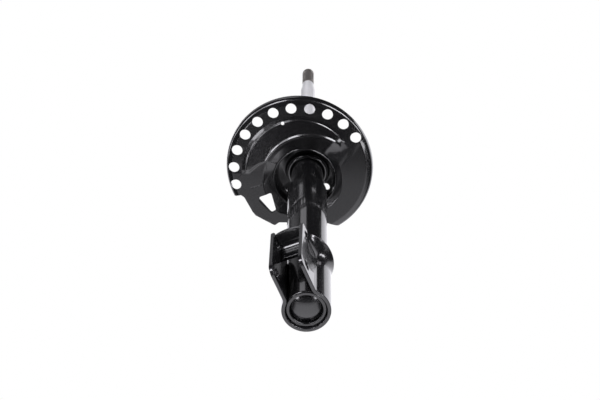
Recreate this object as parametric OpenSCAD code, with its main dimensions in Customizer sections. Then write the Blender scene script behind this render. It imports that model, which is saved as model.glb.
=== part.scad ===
// Front suspension strut: a twin-tube gas damper with a welded knuckle bracket and a pressed spring seat.
// Frame: Z is the damper's axis and points to the rod. The origin is the centre of the base cap's face.
// The bracket's ears point along -Y.

/* [Reserve tube] */
// Outer diameter of the reserve tube
tube_d = 51; // [48:0.5:56]
// Wall of the reserve tube
tube_wall = 2.5; // [2:0.1:3]
// Height of the shoulder above the base cap's face
shoulder_z = 285; // [270:1:295]
// Outer diameter of the neck above the shoulder
neck_d = 42; // [41:0.5:44]
// Height of the tube's closed top above the base cap's face
tube_top = 395; // [385:1:410]
// Radius of the shoulder
shoulder_r = 7; // [5:0.5:8]
// Radius of the curl at the tube's lower end
curl_r = 5.5; // [4.5:0.1:6]
// Depth of the tube's lower end below the base cap's face
rim_drop = 2.5; // [1.5:0.1:3]

/* [Base cap] */
// Diameter of the boss on the base cap
boss_d = 36; // [34:0.5:37]
// Thickness of the base cap
cap_t = 4; // [3:0.25:5]

/* [Knuckle bracket] */
// Sheet thickness of the bracket
sheet_t = 4.5; // [4:0.25:5]
// Depth of the sleeve's lower end below the base cap's face
sleeve_drop = 5.5; // [4:0.5:7]
// Height of the bracket's top above the base cap's face
bracket_top = 87; // [85:1:100]
// Gap between the ears
ear_gap = 33; // [32:0.5:34]
// Distance from the damper's axis to the ears' free edge
ear_reach = 70; // [67:1:74]
// Outer bend radius where an ear leaves the sleeve
ear_bend_r = 8; // [6:0.5:10]
// Diameter of the bolt holes
bolt_hole_d = 13; // [12.2:0.1:14.2]
// Distance from the damper's axis to the bolt holes
bolt_reach = 53; // [50:0.5:56]
// Height of the lower bolt hole
bolt_low_z = 7; // [6:0.5:10]
// Spacing of the bolt holes
bolt_pitch = 66.5; // [60:0.5:68]
// Diameter of the flat seat for a bolt's head
bolt_seat_d = 24; // [20:0.5:25]
// Bend radius of the flared edge on the right ear
flare_r = 19; // [18:0.5:22]

/* [Spring seat] */
// Diameter of the seat over its lip
seat_d = 194; // [190:1:200]
// Sheet thickness of the seat
seat_t = 2.5; // [2:0.1:3]
// Height where the seat's underside crosses the damper's axis
seat_z = 320.5; // [316:0.5:326]
// Tilt of the seat
seat_tilt = 10; // [8:0.5:12]
// Height of the upturned lip
lip_h = 12; // [10:0.5:16]
// Radius of the cup round the neck
cup_r = 41; // [39:0.5:43]
// Height of the cup above the seat's underside on the axis
cup_h = 17; // [15:0.5:22]
// Depth of the coil channel
channel_depth = 5; // [4:0.25:6]
// Diameter of the holes in the flange
seat_hole_d = 14; // [10:0.5:14.5]
// Number of holes in the flange
seat_holes = 11; // [7:1:11]
// Angle from one hole to the next
seat_hole_pitch = 15.94; // [15:0.02:16]

/* [Rod and piston] */
// Diameter of the piston rod
rod_d = 20; // [18:0.5:22]
// Height of the rod's top with the rod out
rod_top = 630; // [620:1:650]
// Diameter of the mounting pin on the rod
pin_d = 16; // [12:0.5:17]
// Length of the mounting pin
pin_len = 45; // [35:1:50]
// Diameter of the working cylinder's bore
bore_d = 32; // [31:0.5:32.5]
// Wall of the working cylinder
cylinder_wall = 1.5; // [1.2:0.1:1.8]
// Height of the piston
piston_h = 14; // [12:0.5:18]
// Diameter of the spigot that carries the piston
spigot_d = 12; // [10:0.5:13]
// Distance from the piston's top washer to the rebound stop
stop_gap = 21; // [15:1:30]

/* [Fits] */
// Radial running clearance of the rod and of the piston band
run_gap = 0.04; // [0.03:0.01:0.08]
// Clearance between pieces that don't run on each other
free_gap = 0.3; // [0.2:0.05:0.4]

/* [Hidden] */
$fn = 96;
arc_steps = 8;
e = 0.01;

tube_r = tube_d / 2;
tube_bore_r = tube_r - tube_wall;
neck_r = neck_d / 2;
neck_bore_r = neck_r - tube_wall;
rod_r = rod_d / 2;
bore_r = bore_d / 2;
cylinder_r = bore_r + cylinder_wall;
boss_r = boss_d / 2;

// Bracket
sleeve_r = tube_r + sheet_t;
ear_in = ear_gap / 2;
ear_out = ear_in + sheet_t;
bend_x = ear_out + ear_bend_r;
bend_y = sqrt(pow(sleeve_r + ear_bend_r, 2) - pow(bend_x, 2));
bend_turn = atan2(bend_y, bend_x);
ear_bottom = -sleeve_drop - 1.5;
flare_root_z = bracket_top - sheet_t - flare_r;
flare_edge_r = 47;
flare_edge_at = [-8, -15.5];
flare_end = 31;
web_front = ear_reach - 5.5;
web_back = 37;
web_leg = 24;

// Seat
seat_r = seat_d / 2;
seat_at = [-5.6, -15.9];
seat_tilt_dir = -95;
lip_bend = 4;
hole_ring_at = [-5.8, -11];
hole_ring_r = 87.7;
hole_first = -172.65;
channel_out_r = 71.5;
channel_in_at = [3, 4];
channel_in_r = 62;
channel_draft = 2;
cup_bend = 6;
collar_h = 14;

// Stack inside the tube, from the base upwards
cap_bottom = curl_r - rim_drop;
cap_top = cap_bottom + cap_t;
foot_h = 4;
valve_bottom = cap_top + foot_h;
valve_shoulder = valve_bottom + 5;
valve_top = valve_shoulder + 5;
plate_t = 0.6;
plate_lift = 0.8;
guide_seat_h = 7;
guide_flange_h = 11;
seal_h = 7;
lip_bend_r = 4;
lip_in_r = 14.5;
guide_bottom = tube_top - tube_wall - seal_h - guide_flange_h - guide_seat_h;
guide_shoulder = guide_bottom + guide_seat_h;
guide_top = guide_shoulder + guide_flange_h;
seal_top = guide_top + seal_h;
garter_r = 1.15;
garter_at = [rod_r + 4.2, guide_top + 2];
bush_wall = 2;
bush_r = rod_r + bush_wall;

// Stack on the rod, from the rebound bumper downwards, with the rod out
bumper_h = 6;
stop_h = 5.5;
bumper_top = guide_bottom - free_gap;
stop_top = bumper_top - bumper_h;
stop_bottom = stop_top - stop_h;
washer_h = 3;
washer_top = stop_bottom - stop_gap;
piston_top = washer_top - washer_h - 3;
piston_bottom = piston_top - piston_h;
disc_h = 2.4;
nut_h = 8;
nut_top = piston_bottom - disc_h;
nut_bottom = nut_top - nut_h;
piston_r = bore_r - free_gap;
spigot_r = spigot_d / 2;
band_h = 8;
band_t = 1.4;
band_groove_r = bore_r - run_gap - band_t - run_gap;
port_r = 11.2;
port_d = 2.6;
ports = 8;
pin_bottom = rod_top - pin_len;
taper_h = 15;

// Points of an arc round (cx, cy) from angle a0 to angle a1
function arc(cx, cy, r, a0, a1) =
    [for (i = [0:arc_steps]) let (a = a0 + (a1 - a0) * i / arc_steps) [cx + r * cos(a), cy + r * sin(a)]];

// A ring about Z between two radii and two heights
module ring(r_in, r_out, z0, z1) {
    translate([0, 0, z0]) difference() {
        cylinder(r = r_out, h = z1 - z0);
        translate([0, 0, -1]) cylinder(r = r_in, h = z1 - z0 + 2);
    }
}

// A round post about Z between two heights
module post(r, z0, z1) {
    translate([0, 0, z0]) cylinder(r = r, h = z1 - z0);
}

// Children repeated evenly about Z
module around(count, first = 0) {
    for (i = [0:count - 1]) rotate(first + i * 360 / count) children();
}

// Reserve tube: curled in at the base, swaged to a neck above the shoulder and rolled over at the top
module outer_tube() {
    shoulder_at = shoulder_z - shoulder_r;
    steep = 60;
    inner_shoulder = shoulder_r - tube_wall;
    outer_end = [tube_r - shoulder_r + shoulder_r * cos(steep), shoulder_at + shoulder_r * sin(steep)];
    inner_end = [tube_r - shoulder_r + inner_shoulder * cos(steep), shoulder_at + inner_shoulder * sin(steep)];
    color("black") rotate_extrude() polygon(concat(
        arc(tube_r - curl_r, curl_r - rim_drop, curl_r, -90, 0),
        arc(tube_r - shoulder_r, shoulder_at, shoulder_r, 0, steep),
        [[neck_r, outer_end[1] + (outer_end[0] - neck_r) / tan(steep)]],
        arc(neck_r - lip_bend_r, tube_top - lip_bend_r, lip_bend_r, 0, 90),
        [[lip_in_r, tube_top], [lip_in_r, tube_top - tube_wall]],
        arc(neck_r - lip_bend_r, tube_top - lip_bend_r, lip_bend_r - tube_wall, 90, 0),
        [[neck_bore_r, inner_end[1] + (inner_end[0] - neck_bore_r) / tan(steep)]],
        arc(tube_r - shoulder_r, shoulder_at, inner_shoulder, steep, 0),
        arc(tube_r - curl_r, curl_r - rim_drop, curl_r - tube_wall, 0, -90)
    ));
}

// Dished cap that closes the tube's lower end, with a round boss
module base_cap() {
    boss_round = 3;
    color("black") rotate_extrude() polygon(concat(
        [[0, 0]],
        arc(boss_r - boss_round, boss_round, boss_round, -90, -10),
        [[boss_r, cap_bottom], [tube_bore_r, cap_bottom], [tube_bore_r, cap_top], [0, cap_top]]
    ));
}

// Plan of the folded sheet: a sleeve round the tube, two bends and two parallel ears
module bracket_plan() {
    difference() {
        circle(r = sleeve_r);
        circle(r = tube_r);
        polygon([[0, 0], 3 * [-bend_x, -bend_y], 3 * [bend_x, -bend_y]]);
    }
    for (side = [0, 1]) mirror([side, 0]) {
        intersection() {
            translate([bend_x, -bend_y]) difference() {
                circle(r = ear_bend_r + sheet_t);
                circle(r = ear_bend_r);
            }
            polygon([[bend_x, -bend_y], [0, 0], [0, -bend_y]]);
        }
        translate([ear_in, -ear_reach]) square([sheet_t, ear_reach - bend_y]);
        // within the sheet, across the lines where the bend leaves the sleeve and the ear
        rotate(-bend_turn) translate([tube_r + sheet_t / 4, -sheet_t / 4]) square(sheet_t / 2);
        translate([ear_in + sheet_t / 4, -bend_y - sheet_t / 4]) square(sheet_t / 2);
    }
}

// Side outline of the ears, with Y across and Z up
module ear_outline() {
    low_round = 10;
    high_round = 6;
    polygon(concat(
        [[sleeve_r + 1, bracket_top], [sleeve_r + 1, -sleeve_drop], [-tube_r, -sleeve_drop], [-bend_y - 4, ear_bottom]],
        arc(-ear_reach + low_round, ear_bottom + low_round, low_round, 270, 180),
        arc(-ear_reach + high_round + 3, bracket_top - high_round, high_round, 180, 90)
    ));
}

// Section of the flare: from inside the sheet up to a flat top, hollowed below by a wide radius
module flare_section(face) {
    sink = 0.3;
    difference() {
        translate([face - sheet_t / 2, flare_root_z]) square([flare_r + sheet_t / 2 - sink, flare_r + sheet_t]);
        translate([face + flare_r - sink, flare_root_z]) circle(r = flare_r);
    }
}

// Knuckle bracket: sleeve, ears with bolt holes and the flared edge on the right
module knuckle_bracket() {
    color("black") difference() {
        union() {
            intersection() {
                translate([0, 0, ear_bottom]) linear_extrude(bracket_top - ear_bottom) bracket_plan();
                rotate([90, 0, 90]) translate([0, 0, -sleeve_r - 1])
                    linear_extrude(2 * sleeve_r + 2) ear_outline();
            }
            bracket_flare();
        }
        for (z = [bolt_low_z, bolt_low_z + bolt_pitch])
            translate([-sleeve_r, -bolt_reach, z]) rotate([0, 90, 0]) cylinder(d = bolt_hole_d, h = 2 * sleeve_r);
    }
}

// The top of the right ear and of the sleeve beside it, flared outwards to a round edge
module bracket_flare() {
    corner_y = sqrt(pow(sleeve_r, 2) - pow(ear_out, 2)) - sheet_t / 8;
    corner_turn = bend_turn + 10;
    difference() {
        intersection() {
            union() {
                translate([0, -corner_y, 0]) rotate([90, 0, 0])
                    linear_extrude(ear_reach - corner_y) flare_section(ear_out);
                rotate(-corner_turn) rotate_extrude(angle = corner_turn + flare_end) flare_section(sleeve_r);
            }
            translate([flare_edge_at[0], flare_edge_at[1], 0]) cylinder(r = flare_edge_r, h = bracket_top);
        }
        // flat seat for the upper bolt's head
        translate([ear_out, -bolt_reach, bolt_low_z + bolt_pitch]) rotate([0, 90, 0])
            cylinder(d = bolt_seat_d, h = flare_edge_r);
    }
}

// Web between the ears, bent down in front of the tube
module bracket_top_plate() {
    in_r = 6;
    out_r = in_r + sheet_t;
    color("black") difference() {
        translate([-ear_in, 0, 0]) rotate([90, 0, 90]) linear_extrude(ear_gap) polygon(concat(
            [[-web_front, bracket_top], [-web_front, bracket_top - sheet_t]],
            arc(-web_back - in_r, bracket_top - sheet_t - in_r, in_r, 90, 0),
            [[-web_back, bracket_top - web_leg], [-web_back + sheet_t, bracket_top - web_leg]],
            arc(-web_back - in_r, bracket_top - sheet_t - in_r, out_r, 0, 90)
        ));
        translate([0, -web_front - 60 + 2.5, 0]) cylinder(r = 60, h = bracket_top + 1);
    }
}

// Weld bead that joins the bracket's top edge to the tube, round the back
module bracket_weld() {
    bead = 3;
    color("dimgray") rotate(25) rotate_extrude(angle = 130) intersection() {
        translate([tube_r, bracket_top]) circle(r = bead, $fn = 48);
        translate([tube_r, bracket_top]) square([bead + 1, bead + 1]);
    }
}

// Places children in the seat's tilted frame, whose Z is square to the flange
module in_seat_frame() {
    translate([0, 0, seat_z]) rotate(a = seat_tilt, v = [sin(seat_tilt_dir), -cos(seat_tilt_dir), 0]) children();
}

// The coil channel between two eccentric cones, grown by a wall
module channel_form(inset, z0, z1) {
    draft = channel_draft * (z1 - z0) / channel_depth;
    difference() {
        translate([hole_ring_at[0], hole_ring_at[1], z0])
            cylinder(r1 = channel_out_r - inset, r2 = channel_out_r - inset + draft, h = z1 - z0);
        translate([channel_in_at[0], channel_in_at[1], z0 - e])
            cylinder(r1 = channel_in_r + inset, r2 = channel_in_r + inset - draft, h = z1 - z0 + 2 * e);
        // the coil's end stops here
        rotate(-165) translate([0, -150, z0 - 1]) cube([150, 150, z1 - z0 + 2]);
        translate([-150, 0, z0 - 1]) cube([300, 150, z1 - z0 + 2]);
    }
}

// Plan of what is cut off the seat's back, and the notch beside the last hole
module seat_back_cut() {
    polygon([[-130, -6], [-92, -6], [-89, -1.5], [-86, 21], [-84, 27], [-65, 48], [-58, 46], [-48, 49.5],
        [3, 68], [14.5, 77.5], [20, 120], [-130, 120]]);
}

// Spring seat: a pressed dish with an upturned lip, a coil channel and a cup that stands on the neck
module spring_seat() {
    cup_top = seat_z + cup_h;
    wall_r = cup_r + seat_t;
    collar_r = neck_r + seat_t;
    color("black") difference() {
        union() {
            in_seat_frame() {
                difference() {
                    union() {
                        translate([seat_at[0], seat_at[1], 0]) rotate_extrude() polygon(concat(
                            [[0, 0]],
                            arc(seat_r - lip_bend, lip_bend, lip_bend, -90, 0),
                            [[seat_r, lip_h], [seat_r - seat_t, lip_h]],
                            arc(seat_r - lip_bend, lip_bend, lip_bend - seat_t, 0, -90),
                            [[0, seat_t]]
                        ));
                        channel_form(0, -channel_depth, e);
                    }
                    channel_form(seat_t, seat_t - channel_depth, seat_t + 1);
                    for (i = [0:seat_holes - 1])
                        translate([hole_ring_at[0], hole_ring_at[1], -1])
                            rotate(hole_first + i * seat_hole_pitch) translate([hole_ring_r, 0, 0])
                                cylinder(d = seat_hole_d, h = seat_t + 2);
                    // pilot holes
                    translate([-3.5, -83.5, -channel_depth - 1]) cylinder(d = 4, h = 12);
                    // drain window beside the cup
                    translate([0, 0, -10]) linear_extrude(20)
                        polygon([[-71.5, 4.5], [-53.5, 4.5], [-55.5, 28.5], [-62, 30]]);
                }
            }
            intersection() {
                rotate_extrude() polygon(concat(
                    [[wall_r, seat_z - 20]],
                    arc(cup_r - cup_bend, cup_top - cup_bend, cup_bend + seat_t, 0, 90),
                    [[collar_r, cup_top + seat_t], [collar_r, cup_top + collar_h], [neck_r, cup_top + collar_h],
                     [neck_r, cup_top]],
                    arc(cup_r - cup_bend, cup_top - cup_bend, cup_bend, 90, 0),
                    [[cup_r, seat_z - 20]]
                ));
                in_seat_frame() cylinder(r = 90, h = 60);
            }
        }
        // the cup is open below
        post(cup_r, seat_z - 20, cup_top - cup_bend);
        post(neck_r, seat_z - 20, cup_top + collar_h + 1);
        difference() {
            post(cup_r, cup_top - cup_bend - e, cup_top);
            rotate_extrude() difference() {
                translate([cup_r - cup_bend, cup_top - cup_bend]) square(cup_bend + 1);
                translate([cup_r - cup_bend, cup_top - cup_bend]) circle(r = cup_bend);
            }
        }
        // drain hole in the cup's floor
        rotate(62.5) translate([33.5, 0, cup_top - 12]) cylinder(d = 9, h = 24);
        translate([0, 0, seat_z - 60]) linear_extrude(120) seat_back_cut();
    }
}

// Weld bead that joins the seat's collar to the neck
module seat_weld() {
    bead = 2.4;
    base = seat_z + cup_h + collar_h;
    color("dimgray") rotate_extrude() intersection() {
        translate([neck_r, base]) circle(r = bead, $fn = 48);
        translate([neck_r, base]) square(bead + 1);
    }
}

// Pressed cap over the tube's top, which the bump stop meets
module tube_end_cap() {
    wall = 1.5;
    skirt = 16;
    hole_r = rod_r + 2;
    color("black") rotate_extrude() polygon(concat(
        [[neck_r, tube_top - skirt], [neck_r + wall, tube_top - skirt]],
        arc(neck_r + wall - 3, tube_top + wall - 3, 3, 0, 90),
        [[hole_r, tube_top + wall], [hole_r, tube_top], [neck_r, tube_top]]
    ));
}

// Working cylinder, from the base valve's shoulder to the rod guide's shoulder
module working_cylinder() {
    color("silver") ring(bore_r, cylinder_r, valve_shoulder, guide_shoulder);
}

// Base valve body: foot ring with gates, two rings of ports and a spigot in the cylinder
module base_valve_body() {
    color("slategray") difference() {
        union() {
            ring(12, bore_r + 0.5, cap_top, valve_bottom);
            post(cylinder_r, valve_bottom, valve_shoulder);
            post(bore_r, valve_shoulder, valve_top);
        }
        post(spigot_r / 2, 0, valve_top + 1);
        around(ports) translate([port_r, 0, 0]) cylinder(d = port_d, h = valve_top + 1);
        around(6, 30) translate([7, 0, 0]) cylinder(d = 2, h = valve_top + 1);
        around(4, 45) translate([8, -2.5, cap_top - 1]) cube([20, 5, foot_h]);
    }
}

// Compression discs under the base valve
module base_compression_discs() {
    color("gainsboro") for (i = [0:2])
        ring(spigot_r / 2, 9.2 - i, valve_bottom - 0.4 * (i + 1), valve_bottom - 0.4 * i);
}

// Check plate that lifts off the outer ports
module base_check_plate() {
    color("gainsboro") ring(9, 14, valve_top, valve_top + plate_t);
}

// Star spring over the check plate, held at its hub
module base_check_spring() {
    z = valve_top + plate_t + plate_lift + free_gap;
    color("gray") difference() {
        union() {
            post(6.5, z, z + 0.8);
            around(3) translate([0, -1.5, z]) cube([12, 3, 0.8]);
        }
        post(spigot_r / 2, z - 1, z + 2);
    }
}

// Bolt that holds the base valve together, with a riveted lower end
module base_valve_bolt() {
    top = valve_top + plate_t + plate_lift + free_gap + 0.8;
    color("darkgray") {
        post(spigot_r / 2, valve_bottom - 3, top);
        post(5.5, top, top + 2.5);
        ring(spigot_r / 2 - e, 4.5, valve_bottom - 3, valve_bottom - 1.2);
        ring(spigot_r / 2 - e, 4.5, valve_top, valve_top + plate_t + plate_lift + free_gap);
    }
}

// Rod guide: spigot in the cylinder, flange in the neck, bore for the bush
module rod_guide() {
    color("lightgray") difference() {
        union() {
            post(bore_r, guide_bottom, guide_shoulder);
            post(neck_bore_r, guide_shoulder, guide_top);
        }
        post(bush_r, guide_bottom - 1, guide_top + 1);
        around(3, 30) translate([neck_bore_r - 1, 0, guide_shoulder - 1]) cylinder(d = 3, h = 20);
    }
}

// Lined bush that the rod slides in
module guide_bush() {
    color("peru") ring(rod_r + run_gap, bush_r, guide_bottom + 1, guide_top - 1);
}

// Oil and gas seal round the rod
module rod_seal() {
    lip_w = 1.6;
    corner = lip_bend_r - tube_wall + 0.1;
    color("dimgray") difference() {
        rotate_extrude() polygon([
            [rod_r + run_gap, guide_top], [rod_r + run_gap, guide_top + 1.5],
            [rod_r + run_gap + lip_w, guide_top + 4], [rod_r + run_gap, seal_top - 1.2],
            [rod_r + run_gap, seal_top], [neck_bore_r - corner, seal_top], [neck_bore_r, seal_top - corner],
            [neck_bore_r, guide_top],
        ]);
        rotate_extrude() translate([garter_at[0], garter_at[1]]) circle(r = garter_r + 0.05, $fn = 32);
    }
}

// Garter spring that presses the seal's lip
module seal_spring() {
    color("silver") rotate_extrude() translate([garter_at[0], garter_at[1]]) circle(r = garter_r, $fn = 32);
}

// Piston rod: spigot with a shoulder, chromed shaft, taper and mounting pin
module piston_rod() {
    chamfer = 1.5;
    color("lightgray") rotate_extrude() polygon([
        [0, nut_bottom - 2], [spigot_r - 1, nut_bottom - 2], [spigot_r, nut_bottom - 1], [spigot_r, washer_top],
        [rod_r - 0.5, washer_top], [rod_r, washer_top + 0.5], [rod_r, pin_bottom - taper_h],
        [pin_d / 2, pin_bottom], [pin_d / 2, rod_top - chamfer], [pin_d / 2 - chamfer, rod_top], [0, rod_top],
    ]);
}

// Stop ring swaged onto the rod
module rebound_stop_ring() {
    color("gray") ring(rod_r, rod_r + 4, stop_bottom, stop_top);
}

// Rubber ring that meets the rod guide at full rebound
module rebound_bumper() {
    color("saddlebrown") ring(rod_r, rod_r + 4.8, stop_top, bumper_top);
}

// Piston with a groove for its band, two rings of ports and a waist under each valve seat
module piston() {
    groove = (piston_h - band_h) / 2;
    color("slategray") difference() {
        post(piston_r, piston_bottom, piston_top);
        post(spigot_r, piston_bottom - 1, piston_top + 1);
        ring(band_groove_r, piston_r + 1, piston_bottom + groove, piston_top - groove);
        around(ports) translate([port_r, 0, piston_bottom - 1]) cylinder(d = port_d, h = piston_h + 2);
        around(6, 30) translate([8, 0, piston_bottom - 1]) cylinder(d = 1.8, h = piston_h + 2);
        ring(12.6, piston_r + 1, piston_bottom - 1, piston_bottom + 1.5);
    }
}

// Sliding band in the piston's groove
module piston_band() {
    groove = (piston_h - band_h) / 2;
    color("teal") ring(bore_r - run_gap - band_t, bore_r - run_gap,
        piston_bottom + groove + run_gap, piston_top - groove - run_gap);
}

// Washer between the rod's shoulder and the piston's hub, which limits the check plate's lift
module piston_washer() {
    color("darkgray") {
        ring(spigot_r, rod_r + 1, washer_top - washer_h, washer_top);
        ring(spigot_r, 7.4, piston_top, washer_top - washer_h);
    }
}

// Spring washer over the piston's check plate, held on the washer's hub
module piston_check_spring() {
    color("gray") ring(7.4, 13, piston_top + plate_t + plate_lift + free_gap, piston_top + plate_t + plate_lift + 1);
}

// Check plate that lifts off the piston's outer ports
module piston_check_plate() {
    color("gainsboro") ring(9.4, 13.4, piston_top, piston_top + plate_t);
}

// Rebound discs under the piston
module piston_rebound_discs() {
    color("gainsboro") for (i = [0:3])
        ring(spigot_r, 12 - 1.2 * i, piston_bottom - disc_h / 4 * (i + 1), piston_bottom - disc_h / 4 * i);
}

// Nut that clamps the piston to the rod
module piston_nut() {
    color("darkgray") difference() {
        translate([0, 0, nut_bottom]) cylinder(d = 21, h = nut_h, $fn = 6);
        post(spigot_r, nut_bottom - 1, nut_top + 1);
    }
}

outer_tube();
base_cap();
knuckle_bracket();
bracket_top_plate();
bracket_weld();
spring_seat();
seat_weld();
tube_end_cap();
working_cylinder();
base_valve_body();
base_compression_discs();
base_check_plate();
base_check_spring();
base_valve_bolt();
rod_guide();
guide_bush();
rod_seal();
seal_spring();
piston_rod();
rebound_stop_ring();
rebound_bumper();
piston();
piston_band();
piston_washer();
piston_check_spring();
piston_check_plate();
piston_rebound_discs();
piston_nut();
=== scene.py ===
# Front suspension strut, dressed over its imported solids: pressings, paint, chrome and the inner works.
# Lengths in the dictionaries are millimetres; meshes are metres.
import math

import bmesh
import bpy
from mathutils import Matrix, Vector, noise


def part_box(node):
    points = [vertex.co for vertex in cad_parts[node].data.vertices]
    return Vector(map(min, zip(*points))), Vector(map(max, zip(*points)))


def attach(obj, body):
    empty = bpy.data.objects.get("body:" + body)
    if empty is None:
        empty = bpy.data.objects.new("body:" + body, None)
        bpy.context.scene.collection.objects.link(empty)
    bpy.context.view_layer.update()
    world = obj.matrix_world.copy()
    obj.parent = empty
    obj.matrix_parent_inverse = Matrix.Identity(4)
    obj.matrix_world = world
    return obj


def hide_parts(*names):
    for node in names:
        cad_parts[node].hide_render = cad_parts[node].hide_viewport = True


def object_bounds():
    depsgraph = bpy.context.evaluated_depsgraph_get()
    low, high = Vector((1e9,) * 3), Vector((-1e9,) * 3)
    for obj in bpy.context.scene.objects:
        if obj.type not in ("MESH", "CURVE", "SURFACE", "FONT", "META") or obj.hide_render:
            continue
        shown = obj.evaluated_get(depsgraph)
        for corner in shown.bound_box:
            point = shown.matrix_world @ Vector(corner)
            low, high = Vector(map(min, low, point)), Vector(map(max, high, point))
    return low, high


mm = 0.001
touching = 0.001 * mm  # vertices closer than this are one
scene = bpy.context.scene
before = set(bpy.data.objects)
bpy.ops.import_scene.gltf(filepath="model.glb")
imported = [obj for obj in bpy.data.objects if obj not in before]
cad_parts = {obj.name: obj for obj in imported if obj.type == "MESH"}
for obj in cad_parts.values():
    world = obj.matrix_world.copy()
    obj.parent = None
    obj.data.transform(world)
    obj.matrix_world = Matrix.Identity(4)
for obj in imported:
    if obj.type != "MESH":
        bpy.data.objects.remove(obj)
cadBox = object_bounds()
print("frame loaded:", len(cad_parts), "nodes")


def smoothStep(low, high, value):
    t = min(1.0, max(0.0, (value - low) / (high - low)))
    return t * t * (3.0 - 2.0 * t)


def roundedPath(corners, steps=7, closed=False, least=0.0, most=0.47):
    # corners are (point, radius); a corner with no radius stays one point, and a bend takes at most
    # the share "most" of each of its sides
    path = []
    for i, (here, radius) in enumerate(corners):
        ends = i in (0, len(corners) - 1) and not closed
        if radius <= 0.0 or ends:
            path.append(here.copy())
            continue
        before = corners[i - 1][0] - here
        after = corners[(i + 1) % len(corners)][0] - here
        turn = before.angle(after) / 2.0
        reach = radius / max(math.tan(turn), 1e-4)
        reach = min(max(reach, least), most * before.length, most * after.length)
        start = here + before.normalized() * reach
        finish = here + after.normalized() * reach
        weight = math.sin(turn)
        for k in range(steps):
            s = k / (steps - 1)
            a, b, c = (1 - s) ** 2, 2 * weight * s * (1 - s), s * s
            path.append((start * a + here * b + finish * c) / (a + b + c))
    return path


def smoothShaded(mesh, sharp=40.0):
    # smooth all over, apart from edges that turn by more than an angle
    mesh.shade_smooth()
    mesh.set_sharp_from_angle(angle=math.radians(sharp))


def meshObject(name, bm, sharp=40.0):
    mesh = bpy.data.meshes.new(name)
    bm.to_mesh(mesh)
    bm.free()
    smoothShaded(mesh, sharp)
    made = bpy.data.objects.new(name, mesh)
    scene.collection.objects.link(made)
    return made


onAxis = (0.0, 0.0)  # centre of what stands upright round the strut


def onCircle(centre, radius, angle, height):
    x, y = centre
    return Vector((x + radius * math.cos(angle), y + radius * math.sin(angle), height)) * mm


def spun(name, corners, around=144, closed=True, steps=8):
    # a section of (radius, height, corner rounding) turned about Z
    points = roundedPath([(Vector((r, 0.0, z)) * mm, c * mm) for r, z, c in corners], steps, closed)
    bm = bmesh.new()
    verts = [bm.verts.new(p) for p in points]
    pairs = list(zip(verts, verts[1:] + (verts[:1] if closed else [])))
    edges = [bm.edges.new(pair) for pair in pairs]
    bmesh.ops.spin(bm, geom=verts + edges, cent=(0, 0, 0), axis=(0, 0, 1), dvec=(0, 0, 0),
                   angle=math.tau, steps=around, use_merge=True)
    bmesh.ops.remove_doubles(bm, verts=bm.verts, dist=touching)
    bmesh.ops.recalc_face_normals(bm, faces=bm.faces)
    return meshObject(name, bm)


def closeEnd(bm, made):
    # caps the last section of an open spin
    last = [g for g in made["geom_last"] if isinstance(g, bmesh.types.BMEdge)]
    bmesh.ops.edgeloop_fill(bm, edges=last)


def sheetGrid(columns, rows, place, loop=False):
    # a grid of columns by rows whose points are put by place(column, row)
    bm = bmesh.new()
    bmesh.ops.create_grid(bm, x_segments=columns - 1, y_segments=rows - 1, size=1.0)
    for v in bm.verts:
        i = round((v.co.x + 1.0) / 2.0 * (columns - 1))
        j = round((v.co.y + 1.0) / 2.0 * (rows - 1))
        v.co = place(i, j)
    if loop:
        bmesh.ops.remove_doubles(bm, verts=bm.verts, dist=touching)
    return bm


def faceTowards(bm, direction, at):
    # turns all normals so that the face nearest to a point looks along a direction
    bmesh.ops.recalc_face_normals(bm, faces=bm.faces)
    nearest = min(bm.faces, key=lambda f: (f.calc_center_median() - at).length)
    if nearest.normal.dot(direction) < 0:
        bmesh.ops.reverse_faces(bm, faces=bm.faces)


def cutterFrom(bm):
    bmesh.ops.recalc_face_normals(bm, faces=bm.faces)
    return meshObject("cutter", bm)


def roundCutter(diameter, depth, place, sides=48):
    bm = bmesh.new()
    bmesh.ops.create_cone(bm, cap_ends=True, segments=sides, radius1=diameter / 2 * mm,
                          radius2=diameter / 2 * mm, depth=depth * mm, matrix=place)
    return cutterFrom(bm)


def prismCutter(outline, low, high, place=None, rounding=0.0):
    corners = [(Vector((x, y, low)) * mm, rounding * mm) for x, y in outline]
    bm = bmesh.new()
    base = bm.faces.new([bm.verts.new(p) for p in roundedPath(corners, steps=5, closed=True)])
    top = bmesh.ops.extrude_face_region(bm, geom=[base])["geom"]
    bmesh.ops.translate(bm, verts=[g for g in top if isinstance(g, bmesh.types.BMVert)],
                        vec=Vector((0, 0, high - low)) * mm)
    if place:
        bmesh.ops.transform(bm, matrix=place, verts=bm.verts)
    return cutterFrom(bm)


def applied(piece, weld=0.002):
    # turns the modifiers into mesh, so that nothing depends on the cutters
    graph = bpy.context.evaluated_depsgraph_get()
    baked = bpy.data.meshes.new_from_object(piece.evaluated_get(graph))
    piece.modifiers.clear()
    bm = bmesh.new()
    bm.from_mesh(baked)
    bmesh.ops.remove_doubles(bm, verts=bm.verts, dist=weld * mm)
    bm.to_mesh(piece.data)
    bm.free()
    bpy.data.meshes.remove(baked)
    smoothShaded(piece.data)
    return piece


def solidified(piece, thickness):
    wall = piece.modifiers.new("wall", "SOLIDIFY")
    wall.thickness = thickness * mm
    wall.offset = -1.0
    wall.use_even_offset = True
    wall.use_quality_normals = True
    return applied(piece)


def cut(piece, cutters):
    for cutter in cutters:
        hole = piece.modifiers.new("hole", "BOOLEAN")
        hole.operation = "DIFFERENCE"
        hole.solver = "EXACT"
        hole.object = cutter
    applied(piece)
    for cutter in cutters:
        bpy.data.objects.remove(cutter)
    return piece


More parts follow.
